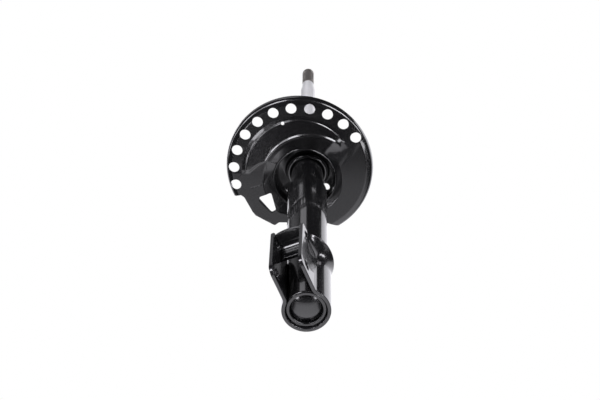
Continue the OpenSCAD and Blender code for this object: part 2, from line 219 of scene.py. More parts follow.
def softEdges(piece, width, segments=3, angle=40.0, stray=0.45):
    # rounds the sharp edges, then puts back any point that the rounding has thrown off the sheet
    sheet = bpy.data.objects.new("sheet", piece.data.copy())
    scene.collection.objects.link(sheet)
    bevel = piece.modifiers.new("edges", "BEVEL")
    bevel.width = width * mm
    bevel.segments = segments
    bevel.limit_method = "ANGLE"
    bevel.angle_limit = math.radians(angle)
    bevel.profile = 0.5
    bevel.use_clamp_overlap = False
    bevel.miter_outer = "MITER_ARC"
    applied(piece)
    for v in piece.data.vertices:
        near = sheet.closest_point_on_mesh(v.co)[1]
        if (near - v.co).length > stray * width * mm:
            v.co = near
    bpy.data.objects.remove(sheet)
    return piece


def evenNormals(piece):
    even = piece.modifiers.new("normals", "WEIGHTED_NORMAL")
    even.keep_sharp = True
    even.weight = 60
    return piece


def dress(piece, body, material, nodes):
    piece.data.materials.clear()
    piece.data.materials.append(material)
    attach(piece, body)
    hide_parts(*nodes)


class Flow:
    # one value or vector in a node tree, with the arithmetic of plain numbers
    def __init__(self, tree, socket):
        self.tree = tree
        self.socket = socket

    def put(self, target, value):
        if isinstance(value, Flow):
            self.tree.links.new(value.socket, target)
        else:
            target.default_value = value

    def node(self, kind, settings=None, values=None, out=0):
        made = self.tree.nodes.new(kind)
        for key, value in (settings or {}).items():
            setattr(made, key, value)
        for key, value in (values or {}).items():
            self.put(made.inputs[key], value)
        return Flow(self.tree, made.outputs[out])

    def maths(self, operation, *values):
        return self.node("ShaderNodeMath", {"operation": operation}, dict(enumerate(values)))

    def __add__(self, other):
        return self.maths("ADD", self, other)

    def __radd__(self, other):
        return self.maths("ADD", other, self)

    def __sub__(self, other):
        return self.maths("SUBTRACT", self, other)

    def __rsub__(self, other):
        return self.maths("SUBTRACT", other, self)

    def __mul__(self, other):
        return self.maths("MULTIPLY", self, other)

    def __rmul__(self, other):
        return self.maths("MULTIPLY", other, self)

    def __neg__(self):
        return self.maths("MULTIPLY", self, -1.0)

    def clipped(self, low, high, outLow=0.0, outHigh=1.0, soft=True):
        settings = {"interpolation_type": "SMOOTHSTEP" if soft else "LINEAR", "clamp": True}
        values = {"Value": self, "From Min": low, "From Max": high, "To Min": outLow, "To Max": outHigh}
        return self.node("ShaderNodeMapRange", settings, values)

    def mixed(self, first, second):
        # two colours mixed by this value
        return self.node("ShaderNodeMix", {"data_type": "RGBA"}, {"Factor": self, 6: first, 7: second}, 2)

    def along(self, direction):
        values = {0: self, 1: tuple(direction)}
        return self.node("ShaderNodeVectorMath", {"operation": "DOT_PRODUCT"}, values, 1)


def newMaterial(name):
    made = bpy.data.materials.new(name)
    made.use_nodes = True
    tree = made.node_tree
    shader = tree.nodes["Principled BSDF"]
    start = Flow(tree, tree.nodes.new("ShaderNodeTexCoord").outputs["Object"])
    return made, shader, start


def noiseAt(place, size, detail=3.0, rough=0.55):
    # size is the width of one feature in millimetres
    values = {"Vector": place, "Scale": 1.0 / (size * mm), "Detail": detail, "Roughness": rough}
    return place.node("ShaderNodeTexNoise", None, values)


def patchy(start, look, low=0.3, high=0.7):
    # the colour wanders between the dark and the light one of the look
    return noiseAt(start, look["patch"]).clipped(low, high).mixed(look["dark"], look["light"])


def bumped(start, shader, height, depth):
    # depth in millimetres
    normal = start.node("ShaderNodeBump", None, {"Height": height, "Strength": 1.0, "Distance": depth * mm})
    start.put(shader.inputs["Normal"], normal)


def paintMaterial(name, look):
    # glossy black with a trace of dust and orange peel
    made, shader, start = newMaterial(name)
    fine = noiseAt(start, look["grain"], detail=4.0)
    peel = noiseAt(start, look["peelSize"], detail=2.0)
    dust = noiseAt(start, look["dustSize"], detail=6.0, rough=0.7).clipped(*look["dustRange"])
    base = patchy(start, look, low=0.35, high=0.65)
    start.put(shader.inputs["Base Color"], (dust * look["dust"]).mixed(base, look["dustColour"]))
    dusty = dust * look["dustRough"] * look["dust"]
    start.put(shader.inputs["Roughness"], look["rough"] + (fine - 0.5) * look["roughSpread"] + dusty)
    bumped(start, shader, peel, look["peelDepth"])
    shader.inputs["Coat Weight"].default_value = look["coat"]
    shader.inputs["Coat Roughness"].default_value = look["coatRough"]
    shader.inputs["IOR"].default_value = look["ior"]
    return made


def metalMaterial(name, look):
    # also takes the rubbers and the band's plastic, with no metallic share
    made, shader, start = newMaterial(name)
    fine = noiseAt(start, look["grain"], detail=4.0)
    start.put(shader.inputs["Base Color"], patchy(start, look))
    start.put(shader.inputs["Roughness"], look["rough"] + (fine - 0.5) * look["roughSpread"])
    shader.inputs["Metallic"].default_value = look["metallic"]
    bumped(start, shader, fine, look["depth"])
    return made


paintLook = {
    "dark": (0.0085, 0.0085, 0.0095, 1), "light": (0.0125, 0.0125, 0.0135, 1), "patch": 60.0,
    "dust": 0.15, "dustColour": (0.09, 0.085, 0.08, 1), "dustSize": 9.0, "dustRange": (0.56, 0.75),
    "dustRough": 0.1, "rough": 0.26, "roughSpread": 0.05, "grain": 4.0,
    "peelSize": 2.4, "peelDepth": 0.0009, "coat": 1.0, "coatRough": 0.03, "ior": 1.5,
}
paint = paintMaterial("blackPaint", paintLook)
# a darker copy of the same black paint for the tube and the seat: painted shade, so that they look a shade
# deeper than the bracket
shadeDarkenedPaint = paintMaterial("shadeDarkenedPaint", {
    **paintLook, "dark": (0.004, 0.004, 0.0045, 1), "light": (0.006, 0.006, 0.0065, 1), "dust": 0.08})
weldPaint = paintMaterial("paintedWeld", {
    **paintLook, "rough": 0.32, "peelSize": 0.9, "peelDepth": 0.05, "coat": 0.3})
rodLook = {
    "dark": (0.84, 0.84, 0.85, 1), "light": (0.9, 0.9, 0.9, 1), "rough": 0.4, "roughSpread": 0.08,
    "metallic": 0.3, "patch": 30.0, "grain": 1.2, "depth": 0.002,
    "threadColour": (0.55, 0.52, 0.49, 1), "threadRough": 0.3, "threadFrom": (589.0, 591.0),
}


def rodMaterial(look):
    # ground chrome, with bare dark steel on the pin's thread
    made, shader, start = newMaterial("chromedRod")
    fine = noiseAt(start, look["grain"], detail=4.0)
    threaded = start.along((0, 0, 1)).clipped(*(z * mm for z in look["threadFrom"]))
    rough = threaded.clipped(0.0, 1.0, look["rough"], look["threadRough"])
    start.put(shader.inputs["Base Color"], threaded.mixed(patchy(start, look), look["threadColour"]))
    start.put(shader.inputs["Metallic"], threaded.clipped(0.0, 1.0, look["metallic"], 1.0))
    start.put(shader.inputs["Roughness"], rough + (fine - 0.5) * look["roughSpread"])
    bumped(start, shader, fine, look["depth"])
    return made


chrome = rodMaterial(rodLook)
steel = metalMaterial("drawnSteel", {
    "dark": (0.3, 0.29, 0.28, 1), "light": (0.42, 0.41, 0.4, 1), "rough": 0.36, "roughSpread": 0.2,
    "metallic": 1.0, "patch": 12.0, "grain": 0.8, "depth": 0.006})
springSteel = metalMaterial("springSteel", {
    "dark": (0.2, 0.19, 0.2, 1), "light": (0.33, 0.32, 0.32, 1), "rough": 0.28, "roughSpread": 0.14,
    "metallic": 1.0, "patch": 8.0, "grain": 0.6, "depth": 0.004})
sintered = metalMaterial("sinteredSteel", {
    "dark": (0.11, 0.11, 0.12, 1), "light": (0.2, 0.2, 0.21, 1), "rough": 0.62, "roughSpread": 0.2,
    "metallic": 0.85, "patch": 5.0, "grain": 0.35, "depth": 0.02})
lining = metalMaterial("bushLining", {
    "dark": (0.3, 0.15, 0.07, 1), "light": (0.5, 0.28, 0.13, 1), "rough": 0.42, "roughSpread": 0.2,
    "metallic": 0.7, "patch": 4.0, "grain": 0.5, "depth": 0.01})
sealRubber = metalMaterial("sealRubber", {
    "dark": (0.012, 0.012, 0.012, 1), "light": (0.03, 0.03, 0.03, 1), "rough": 0.6, "roughSpread": 0.2,
    "metallic": 0.0, "patch": 6.0, "grain": 0.5, "depth": 0.02})
bumperRubber = metalMaterial("bumperRubber", {
    "dark": (0.09, 0.045, 0.02, 1), "light": (0.17, 0.09, 0.045, 1), "rough": 0.66, "roughSpread": 0.2,
    "metallic": 0.0, "patch": 6.0, "grain": 0.7, "depth": 0.03})
bandPlastic = metalMaterial("bandPlastic", {
    "dark": (0.01, 0.1, 0.1, 1), "light": (0.02, 0.18, 0.17, 1), "rough": 0.45, "roughSpread": 0.15,
    "metallic": 0.0, "patch": 5.0, "grain": 0.5, "depth": 0.01})
print("materials made")

# the reserve tube; heights count from the strut's base face
tubeSize = {
    "radius": 25.5, "wall": 2.5, "low": -2.5, "lowIn": 20.0, "lipRound": 1.8, "curl": 3.4, "curlIn": 0.9,
    "shoulder": 285.0, "shoulderRound": 7.0, "slope": 60.0,
    "neck": 21.0, "neckRound": 4.0, "neckInRound": 2.0,
    "top": 395.0, "topIn": 14.5, "topRound": 4.0, "endRound": 0.5,
}


def makeTube(t):
    steep = math.radians(t["slope"])
    # where the swaged cone meets the straight tube and the neck
    turnIn = t["shoulderRound"] * math.tan(steep / 2)
    kneeZ = t["shoulder"] - t["shoulderRound"] + turnIn
    coneHeight = (t["radius"] - t["neck"]) / math.tan(steep)
    w = t["wall"]
    kneeIn = kneeZ - w * math.tan(steep / 2)
    outside = [
        (t["lowIn"], t["low"], t["lipRound"]), (t["radius"], t["low"], t["curl"]),
        (t["radius"], kneeZ, t["shoulderRound"]), (t["neck"], kneeZ + coneHeight, t["neckRound"]),
        (t["neck"], t["top"], t["topRound"]), (t["topIn"], t["top"], t["endRound"]),
    ]
    inside = [
        (t["topIn"], t["top"] - w, t["endRound"]), (t["neck"] - w, t["top"] - w, t["topRound"] - w),
        (t["neck"] - w, kneeIn + coneHeight, t["neckInRound"]),
        (t["radius"] - w, kneeIn, t["shoulderRound"] - w),
        (t["radius"] - w, t["low"] + w, t["curlIn"]), (t["lowIn"], t["low"] + w, t["endRound"]),
    ]
    return spun("outerTube", outside + inside)


capSize = {
    "low": -1.6, "dome": 47.0, "domeSteps": 12, "boss": 18.9, "bossRound": 0.6, "step": (19.7, 4.0, 0.5),
    "edge": 22.95, "edgeRound": 0.4, "top": 7.0, "topRound": 0.5,
}


def makeBaseCap(c):
    # the boss is a shallow dome
    reaches = [c["boss"] * k / c["domeSteps"] for k in range(c["domeSteps"] + 1)]
    dome = [(r, c["low"] + c["dome"] - math.sqrt(c["dome"] ** 2 - r ** 2), 0.0) for r in reaches]
    dome[-1] = (*dome[-1][:2], c["bossRound"])
    return spun("baseCap", dome + [
        c["step"], (c["edge"], c["step"][1], c["edgeRound"]),
        (c["edge"], c["top"], c["topRound"]), (0.0, c["top"], 0.0),
    ], closed=False)


# the tube takes the darker copy of the paint, which is painted shade
dress(evenNormals(makeTube(tubeSize)), "tube", shadeDarkenedPaint, ["outer_tube"])
dress(evenNormals(makeBaseCap(capSize)), "tube", paint, ["base_cap"])

# the knuckle bracket is one folded sheet, drawn as its outer face and then given its thickness
bracketSize = {
    "sheet": 4.5, "sleeve": 30.0, "earOut": 21.0, "bend": 8.0, "reach": 70.0, "low": -5.5, "earLow": -7.0,
    "top": 87.0, "lowRound": 10.0, "highRound": 6.0, "lean": 3.0,
    "boltReach": 53.0, "bolts": (7.0, 73.5), "boltHole": 13.0, "boltCut": 90.0,
    "flareBend": 19.0, "edgeRadius": 47.0, "edgeAt": (-8.0, -15.5), "flareEar": -52.45, "flareSleeve": 46.5,
    "flareStart": (-0.5, 5.0), "edgeRound": 0.8,
    # rows of the mesh: up to which height, in how many steps; columns of the half sleeve, the bend and an ear
    "rows": ((4.0, 9), (60.0, 12), (81.0, 22), (87.0, 3)), "columns": (52, 10, 32),
}


def bracketPlan(b):
    # right half of the outer face from the back of the sleeve to the ear's bend line
    bendX = b["earOut"] + b["bend"]
    bendY = math.sqrt((b["sleeve"] + b["bend"]) ** 2 - bendX ** 2)
    turn = math.degrees(math.atan2(bendY, bendX))
    sleeveSteps, bendSteps = b["columns"][:2]
    plan = []
    for k in range(sleeveSteps + 1):
        a = math.radians(90.0 - (90.0 + turn) * k / sleeveSteps)
        plan.append((b["sleeve"] * math.cos(a), b["sleeve"] * math.sin(a)))
    for k in range(1, bendSteps + 1):
        a = math.radians(180.0 - turn + turn * k / bendSteps)
        plan.append((bendX + b["bend"] * math.cos(a), -bendY + b["bend"] * math.sin(a)))
    return plan, bendY, turn


def rowHeights(b):
    heights = [b["low"]]
    for top, steps in b["rows"]:
        start = heights[-1]
        heights += [start + (top - start) * k / steps for k in range(1, steps + 1)]
    return heights


def earFront(b, heights):
    # the ear's front edge, row by row: straight but leaning back, and rounded below and above
    lowSteps, highSteps = b["rows"][0][1], b["rows"][-1][1]
    straight = (b["earLow"] + b["lowRound"], b["top"] - b["highRound"])
    highStart = len(heights) - 1 - highSteps
    front = []
    for j, height in enumerate(heights):
        if j < lowSteps:
            a = math.radians(270.0 - 90.0 * j / lowSteps)
            y = -b["reach"] + b["lowRound"] * (1 + math.cos(a))
            z = b["earLow"] + b["lowRound"] * (1 + math.sin(a))
        elif j >= highStart:
            a = math.radians(180.0 - 90.0 * (j - highStart) / highSteps)
            y = -b["reach"] + b["lean"] + b["highRound"] * (1 + math.cos(a))
            z = b["top"] - b["highRound"] * (1 - math.sin(a))
        else:
            z = max(height, straight[0])
            y = -b["reach"] + b["lean"] * (z - straight[0]) / (straight[1] - straight[0])
        front.append((y, z))
    return front


def makeBracket(b):
    plan, bendY, turn = bracketPlan(b)
    bendX = b["earOut"] + b["bend"]
    heights = rowHeights(b)
    front = earFront(b, heights)
    earColumns = b["columns"][2]
    half = len(plan) + earColumns

    cx, cy = b["edgeAt"]
    earLength = abs(b["flareEar"]) - bendY
    bendLength = b["bend"] * math.radians(turn)
    whole = earLength + bendLength + b["sleeve"] * math.radians(turn + b["flareSleeve"])
    first = math.atan2(b["flareEar"] - cy, b["earOut"] - cx)
    endAt = math.radians(b["flareSleeve"])
    last = math.atan2(b["sleeve"] * math.sin(endAt) - cy, b["sleeve"] * math.cos(endAt) - cx)

    def flared(x, y, z):
        # how far along the flare this column is, from the ear's front to the back of the sleeve
        if y < -bendY:
            s = y - b["flareEar"]
        elif math.hypot(x, y) > b["sleeve"] + 1e-4:
            s = earLength + b["bend"] * (math.pi - math.atan2(y + bendY, x - bendX))
        else:
            s = earLength + bendLength + b["sleeve"] * (math.atan2(y, x) + math.radians(turn))
        if s <= 0.0 or s >= whole:
            return x, y, z
        a = first + (last - first) * s / whole
        out = Vector((cx + b["edgeRadius"] * math.cos(a) - x, cy + b["edgeRadius"] * math.sin(a) - y))
        out *= smoothStep(*b["flareStart"], s)
        extent = max(out.length, 1e-6)
        bendAngle = math.acos(max(-1.0, 1.0 - extent / b["flareBend"]))
        rootZ = b["top"] - (b["sheet"] + b["flareBend"]) * math.sin(bendAngle)
        if z <= rootZ:
            return x, y, z
        angle = bendAngle * (z - rootZ) / (b["top"] - rootZ)
        away = out / extent * b["flareBend"] * (1.0 - math.cos(angle))
        return x + away.x, y + away.y, rootZ + b["flareBend"] * math.sin(angle)

    def place(i, j):
        right = i >= half - 1
        k = abs(i - (half - 1))  # 0 at the back of the sleeve
        if k < len(plan):
            x, y = plan[k]
            z = heights[j]
        else:
            share = (k - len(plan) + 1) / earColumns
            x = b["earOut"]
            y = -bendY + share * (front[j][0] + bendY)
            z = heights[j] + share * (front[j][1] - heights[j])
        if right:
            x, y, z = flared(x, y, z)
        return Vector((x if right else -x, y, z)) * mm

    bm = sheetGrid(2 * half - 1, len(heights), place)
    faceTowards(bm, Vector((0, 1, 0)), Vector((0, b["sleeve"], b["top"] / 2)) * mm)
    piece = solidified(meshObject("knuckleBracket", bm), b["sheet"])
    across = Matrix.Rotation(math.pi / 2, 4, "Y")
    cut(piece, [roundCutter(b["boltHole"], b["boltCut"],
                            Matrix.Translation(Vector((0, -b["boltReach"], z)) * mm) @ across)
                for z in b["bolts"]])
    return evenNormals(softEdges(piece, b["edgeRound"]))


dress(makeBracket(bracketSize), "tube", paint, ["knuckle_bracket"])

webSize = {
    "half": 16.5, "front": 64.5, "back": 42.0, "under": 82.5, "low": 59.0, "bend": 9.0, "sheet": 4.5,
    "bulge": 2.6, "edgeRound": 0.8, "columns": 17, "shelfSteps": 4, "bendSteps": 14,
}


def makeWeb(w):
    corners = [(Vector((0, -w["front"], w["under"])), 0), (Vector((0, -w["back"], w["under"])), w["bend"]),
               (Vector((0, -w["back"], w["low"])), 0)]
    path = roundedPath(corners, w["bendSteps"])
    path = [path[0].lerp(path[1], k / w["shelfSteps"]) for k in range(w["shelfSteps"])] + path[1:]
    shelfEnd = w["back"] + w["bend"]

    def place(i, j):
        share = 2 * i / (w["columns"] - 1) - 1
        point = path[j]
        forward = max(0.0, (point.y + shelfEnd) / (shelfEnd - w["front"]))
        return Vector((w["half"] * share, point.y + forward * w["bulge"] * share ** 2, point.z)) * mm

    bm = sheetGrid(w["columns"], len(path), place)
    faceTowards(bm, Vector((0, 0, -1)), Vector((0, -(shelfEnd + w["front"]) / 2, w["under"])) * mm)
    return evenNormals(softEdges(solidified(meshObject("bracketWeb", bm), w["sheet"]), w["edgeRound"]))


dress(makeWeb(webSize), "tube", paint, ["bracket_top_plate"])
print("tube and bracket made")

# the spring seat is one deep pressing in a tilted frame; its angles count from +X
seatSize = {
    "height": 320.5, "tilt": 10.0, "tiltDirection": -95.0, "sheet": 2.5, "fit": 0.03,
    "rim": 97.0, "rimAt": (-5.6, -15.9), "lip": 12.0, "lipFoot": (8.5, 6.5), "lipKnee": (0.8, 3.0, 5.5),
    "ringAt": (-5.8, -11.0), "ringRadius": 87.7,
    "hole": 14.0, "holes": 11, "firstHole": -172.65, "holePitch": 15.94, "holeMiddle": 1.0,
    # the coil's channel: its two circles, its wall, and the angles at which it begins and fades
    "channelOut": 71.2, "channelIn": 63.0, "channelInAt": (3.0, 4.0), "channelLeast": 6.5, "draft": 6.0,
    "wall": (1.6, 0.3), "wallRound": 3.2, "wallHollow": 2.0, "crestRound": 4.2, "crestWide": 4.0,
    "startOut": -162.0, "startIn": -142.0, "startEase": (1.0, 5.0), "endEase": 3.0, "slantGap": 5.0,
    "shelf": (4.0, 1.8), "shelfTurn": (-165.0, -30.0), "fadeTurn": (-26.0, -8.0),
    "floorFall": 2.0, "step": 3.0, "stepRise": 2.6,
    # the slope to the cup is soft on the right side, and the mouth's circle rises to the left
    "softInner": 9.0, "softRound": 13.0, "softFrom": (-20.0, 12.0), "softTo": (100.0, 140.0),
    "mouthAt": (-3.5, 0.0), "mouthShift": (-0.23, 0.3), "mouth": 41.0, "mouthRise": (2.5, 4.0, 2.0),
    "mouthRound": 3.4, "bead": 1.15, "beadSink": 0.3, "beadSteps": (180, 12), "ring": (24.2, 335.6, 3.1),
    "cup": 39.5, "cupAt": (-3.0, 1.0), "cupTop": 337.5, "cupLow": 4.0, "cupHigh": 3.5, "cupBend": 7.0,
    "neck": 21.0, "collar": 14.0, "collarBend": 3.4,
    "pilot": (-3.4, -81.8, 4.5), "drain": (62.5, 33.5, 9.0), "windowRound": 2.5, "cutRound": 2.0,
    "window": ((-71.5, 4.5), (-53.5, 4.5), (-55.5, 28.5), (-62, 30)),
    "backCut": ((-130, -6), (-92, -6), (-89, -1.5), (-86, 21), (-84, 27), (-65, 48), (-58, 46), (-48, 49.5),
                (3, 68), (14.5, 77.5), (20, 120), (-130, 120)),
    "cutDepth": {"hole": 12.0, "pilot": 30.0, "drain": 24.0, "window": 20.0, "back": 60.0},
    "edgeRound": 0.45, "turnStep": 1.5, "fineStep": 0.75, "fineSpan": (6.0, 9.0),
    "bendSteps": 8, "leastBend": 0.5,
}


def seatFrame(s):
    turn = math.radians(s["tiltDirection"])
    axis = Vector((math.sin(turn), -math.cos(turn), 0.0))
    return Matrix.Translation((0, 0, s["height"] * mm)) @ Matrix.Rotation(math.radians(s["tilt"]), 4, axis)


def seatAngles(s):
    # columns are closer together where the channel's end wall stands
    angles = []
    a = -180.0
    while a < 180.0 - 1e-6:
        angles.append(a)
        fine = s["startOut"] - s["fineSpan"][0] < a < s["startIn"] + s["fineSpan"][1]
        a += s["fineStep"] if fine else s["turnStep"]
    return angles + [180.0]


def circleFrom(s, centre, radius, angle):
    # distance from the ring's centre to another circle
    dx, dy = centre[0] - s["ringAt"][0], centre[1] - s["ringAt"][1]
    along = dx * math.cos(angle) + dy * math.sin(angle)
    across = -dx * math.sin(angle) + dy * math.cos(angle)
    return along + math.sqrt(radius ** 2 - across ** 2)


def mouthFrom(s, angle):
    # the cup's mouth: its distance from the ring's centre and its height over the seat's underside
    level, left, front = s["mouthRise"]
    rise = level + left * max(0.0, -math.cos(angle)) ** 2 - front * max(0.0, -math.sin(angle)) ** 2
    centre = [s["mouthAt"][k] + s["mouthShift"][k] * rise for k in range(2)]
    return circleFrom(s, centre, s["mouth"], angle), rise


def channelAt(s, degrees):
    # depths of the coil's channel at one angle: at its outer wall, at its floor's step and at its crest
    across = min(1.0, max(0.0, (degrees - s["startOut"]) / (s["startIn"] - s["startOut"])))
    passed = smoothStep(s["startIn"] - s["endEase"], s["startIn"] + s["endEase"], degrees)
    early, late = s["startEase"]
    begun = smoothStep(s["startOut"] - early, s["startOut"] + late, degrees)
    deep, shallow = s["shelf"]
    shelf = deep + (shallow - deep) * smoothStep(*s["shelfTurn"], degrees)
    fade = 1.0 - smoothStep(*s["fadeTurn"], degrees)
    hollow = (shelf + s["floorFall"] * across) * begun * fade
    crest = (hollow + s["stepRise"] * fade) * passed
    return shelf * begun * fade, hollow, crest, across, passed


def seatColumn(s, tilted, degrees):
    # the sheet's underside from the lip's edge to the end of the collar, at one angle
    a = math.radians(degrees)
    outer, hollow, crest, across, passed = channelAt(s, degrees)
    mouth, rise = mouthFrom(s, a)
    inner = min(circleFrom(s, s["channelInAt"], s["channelIn"], a), s["channelOut"] - s["channelLeast"])
    # the right side has no crest: its slope to the cup is wide and soft
    soft = smoothStep(*s["softFrom"], degrees) * (1.0 - smoothStep(*s["softTo"], degrees))
    inner += (mouth + s["softInner"] - inner) * soft
    # the channel's first end is cut off on a slant, with the flat inside it
    cutOff = (1.0 - across) * (1.0 - passed) * (degrees < 0.0)
    slant = inner + (s["channelOut"] - s["slantGap"] - inner) * cutOff
    slantRound = s["wallHollow"] * passed + s["wallRound"] * (1.0 - passed)
    last = inner - s["crestWide"] * passed
    rising = (rise + crest) * s["crestWide"] / (inner - mouth) - crest
    lastAt = -crest * (1.0 - passed) + rising * passed
    lastRound = s["crestRound"] + (s["softRound"] - s["crestRound"]) * soft
    rim = circleFrom(s, s["rimAt"], s["rim"], a)
    kneeIn, kneeUp, kneeRound = s["lipKnee"]
    footIn, footRound = s["lipFoot"]
    wallFoot, wallShare = s["wall"]
    pressed = [
        (rim, s["lip"], 0.0), (rim - kneeIn, kneeUp, kneeRound), (rim - footIn, 0.0, footRound),
        (s["channelOut"] + s["draft"], 0.0, s["wallHollow"]),
        (s["channelOut"] + wallFoot, -outer * wallShare, s["wallHollow"]),
        (s["channelOut"], -outer, s["wallRound"]), (slant + s["step"], -hollow, slantRound),
        (slant, -crest, s["crestRound"]), (last, lastAt, lastRound), (mouth, rise, s["mouthRound"]),
    ]
    collar = s["neck"] + s["fit"]
    upright = [
        (onCircle(s["cupAt"], s["cup"], a, s["cupTop"] - s["cupLow"]), s["cupBend"]),
        (onCircle(onAxis, collar, a, s["cupTop"] + s["cupHigh"]), s["collarBend"]),
        (onCircle(onAxis, collar, a, s["cupTop"] + s["collar"]), 0.0),
    ]
    corners = [(tilted @ onCircle(s["ringAt"], reach, a, h), bend) for reach, h, bend in pressed] + upright
    return roundedPath([(p, r * mm) for p, r in corners], s["bendSteps"], least=s["leastBend"] * mm)


def seatCutters(s, tilted):
    deep = s["cutDepth"]
    cutters = []
    for k in range(s["holes"]):
        a = math.radians(s["firstHole"] + k * s["holePitch"])
        at = onCircle(s["ringAt"], s["ringRadius"], a, s["holeMiddle"])
        cutters.append(roundCutter(s["hole"], deep["hole"], tilted @ Matrix.Translation(at)))
    x, y, d = s["pilot"]
    at = tilted @ Matrix.Translation(Vector((x, y, 0)) * mm)
    cutters.append(roundCutter(d, deep["pilot"], at, sides=24))
    turn, reach, d = s["drain"]
    at = Matrix.Translation(onCircle(onAxis, reach, math.radians(turn), s["cupTop"]))
    cutters.append(roundCutter(d, deep["drain"], at, sides=32))
    cutters.append(prismCutter(s["window"], -deep["window"], deep["window"], tilted, s["windowRound"]))
    low, high = s["height"] - deep["back"], s["height"] + deep["back"]
    cutters.append(prismCutter(s["backCut"], low, high, None, s["cutRound"]))
    return cutters


def seatBeads(s, tilted):
    # the rolled edge of the cup's mouth and the bead round the neck inside the cup
    around, section = s["beadSteps"]
    ringR, ringZ, ringRound = s["ring"]

    def edge(i, j):
        a, b = math.tau * i / around, math.tau * j / section
        reach, rise = mouthFrom(s, a)
        height = rise - s["beadSink"] + s["bead"] * math.sin(b)
        return tilted @ onCircle(s["ringAt"], reach + s["bead"] * math.cos(b), a, height)

    def neckBead(i, j):
        a, b = math.tau * i / around, math.tau * j / section
        return onCircle(onAxis, ringR + ringRound * math.cos(b), a, ringZ + ringRound * math.sin(b))

    return [sheetGrid(around + 1, section + 1, shape, loop=True) for shape in (edge, neckBead)]


def makeSeat(s):
    tilted = seatFrame(s)
    columns = [seatColumn(s, tilted, a) for a in seatAngles(s)]
    bm = sheetGrid(len(columns), len(columns[0]), lambda i, j: columns[i][j], loop=True)
    flat = tilted @ onCircle(s["ringAt"], s["ringRadius"], -math.pi / 2, 0.0)
    faceTowards(bm, Vector((0, 0, -1)), flat)
    piece = solidified(meshObject("springSeat", bm, sharp=30.0), s["sheet"])
    cut(piece, seatCutters(s, tilted))
    softEdges(piece, s["edgeRound"], segments=2)
    joined = bmesh.new()
    joined.from_mesh(piece.data)
    for bead in seatBeads(s, tilted):
        bmesh.ops.recalc_face_normals(bead, faces=bead.faces)
        mesh = bpy.data.meshes.new("bead")
        bead.to_mesh(mesh)
        bead.free()
        joined.from_mesh(mesh)
        bpy.data.meshes.remove(mesh)
    joined.to_mesh(piece.data)
    joined.free()
    smoothShaded(piece.data)
    return evenNormals(piece)


# the seat takes the darker copy of the paint, which is painted shade
dress(makeSeat(seatSize), "tube", shadeDarkenedPaint, ["spring_seat"])
print("seat made")

weldSize = {
    "bracket": {"section": (25.9, 87.0, 2.6), "first": 25.0, "turn": 130.0},
    "seat": {"section": (21.3, 351.5, 2.0), "first": 0.0, "turn": 360.0},
}
weldLook = {
    "pitch": 1.9, "height": 0.14, "sink": 0.4, "lag": 0.35, "wander": 0.18, "wanderScale": 260.0,
    "sectionSteps": 14, "spacing": 0.45, "endShare": 0.55, "endLength": 5.0,
}


def weldBead(name, size, look):
    # a laid bead: the section is swept and then rippled as the torch moved
    centreR, centreZ, radius = size["section"]
    first, turn = math.radians(size["first"]), math.radians(size["turn"])
    ring = size["turn"] >= 360.0
    bm = bmesh.new()
    verts = []
    for k in range(look["sectionSteps"]):
        a = math.tau * k / look["sectionSteps"]
        reach, height = centreR + radius * math.cos(a), centreZ + radius * math.sin(a)
        verts.append(bm.verts.new(Vector((reach, 0, height)) * mm))
    edges = [bm.edges.new(p) for p in zip(verts, verts[1:] + verts[:1])]
    if not ring:
        bm.faces.new(verts)
    bmesh.ops.rotate(bm, verts=verts, cent=(0, 0, 0), matrix=Matrix.Rotation(first, 3, "Z"))
    around = int(centreR * turn / look["spacing"])
    made = bmesh.ops.spin(bm, geom=verts + edges, cent=(0, 0, 0), axis=(0, 0, 1), dvec=(0, 0, 0),
                          angle=turn, steps=around, use_merge=ring)
    if not ring:
        closeEnd(bm, made)
    for v in bm.verts:
        angle = math.atan2(v.co.y, v.co.x)
        reach = math.hypot(v.co.x, v.co.y)
        away = Vector((reach / mm - centreR, v.co.z / mm - centreZ))
        lag = look["lag"] * abs(away.y)
        wave = 0.5 + 0.5 * math.cos((angle * centreR + lag) / look["pitch"] * math.tau)
        wander = look["wander"] * noise.noise(v.co * look["wanderScale"])
        swell = 1.0 + look["height"] * (wave ** 2 - look["sink"]) + wander
        if not ring:
            # the bead tapers off at both ends
            inside = min(angle - first, first + turn - angle) % math.tau
            full = smoothStep(0.0, look["endLength"], inside * centreR)
            swell *= look["endShare"] + (1.0 - look["endShare"]) * full
        reach, height = centreR + away.x * swell, centreZ + away.y * swell
        v.co = Vector((math.cos(angle) * reach, math.sin(angle) * reach, height)) * mm
    bmesh.ops.recalc_face_normals(bm, faces=bm.faces)
    return meshObject(name, bm, sharp=60.0)


bracketBead = weldBead("bracketWeld", weldSize["bracket"], weldLook)
seatBead = weldBead("seatWeld", weldSize["seat"], weldLook)
dress(bracketBead, "tube", weldPaint, ["bracket_weld"])
dress(seatBead, "tube", weldPaint, ["seat_weld"])

endCapSize = {
    "neck": 21.0, "fit": 0.02, "wall": 1.5, "low": 379.0, "top": 395.0, "hole": 12.0, "bell": (0.4, 2.0),
    "rounds": (0.3, 0.5, 1.0, 3.0, 0.5, 0.4, 1.2),
}


def makeEndCap(c):
    inside, out, above = c["neck"] + c["fit"], c["neck"] + c["wall"], c["top"] + c["wall"]
    bellOut, bellHigh = c["bell"]
    outline = [
        (inside, c["low"]), (out + bellOut, c["low"]), (out, c["low"] + bellHigh), (out, above),
        (c["hole"], above), (c["hole"], c["top"]), (inside, c["top"] + c["fit"]),
    ]
    return spun("tubeEndCap", [(r, z, c["rounds"][k]) for k, (r, z) in enumerate(outline)])


dress(evenNormals(makeEndCap(endCapSize)), "tube", paint, ["tube_end_cap"])

